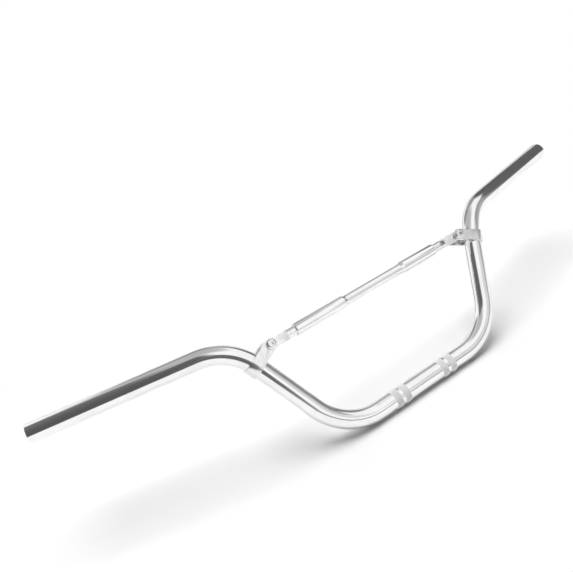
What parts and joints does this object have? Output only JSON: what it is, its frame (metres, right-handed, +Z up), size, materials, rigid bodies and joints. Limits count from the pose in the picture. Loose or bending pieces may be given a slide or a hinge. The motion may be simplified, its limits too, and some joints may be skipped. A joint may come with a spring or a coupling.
{
  "type": "motocross handlebar",
  "caption": "High-rise off-road handlebar: one bent round tube with knurled clamp bands, and a waisted crossbar held to the rises by strap clamps.",
  "frame": {"origin": "middle of the centre section, on the tube's axis, where a stem grips the bar", "axes": "+X along the bar, towards the end that lies on the right seen from in front; +Y back to the rider, the way the grips sweep; +Z up, with the rises leaning back 26 degrees as the bar is mounted"},
  "size_m": [0.8038, 0.1594, 0.1536],
  "materials": {
    "polished_tube": "polished",
    "polished_crossbar": "polished",
    "bright_fitting": "bright",
    "satin_strap": "satin",
    "plated_fastener": "plated",
    "white_nylon": "matt"
  },
  "bodies": {
    "root": {"handlebar_tube": "polished_tube", "crossbar_tube": "polished_crossbar", "crossbar_eye_left": "bright_fitting", "crossbar_eye_right": "bright_fitting", "clamp_strap_left": "satin_strap", "clamp_strap_right": "satin_strap", "clamp_bolt_left": "plated_fastener", "clamp_bolt_right": "plated_fastener", "clamp_washer_left": "plated_fastener", "clamp_washer_right": "plated_fastener", "clamp_nut_left": "plated_fastener", "clamp_nut_right": "plated_fastener", "clamp_nut_insert_left": "white_nylon", "clamp_nut_insert_right": "white_nylon"}
  },
  "joints": []
}
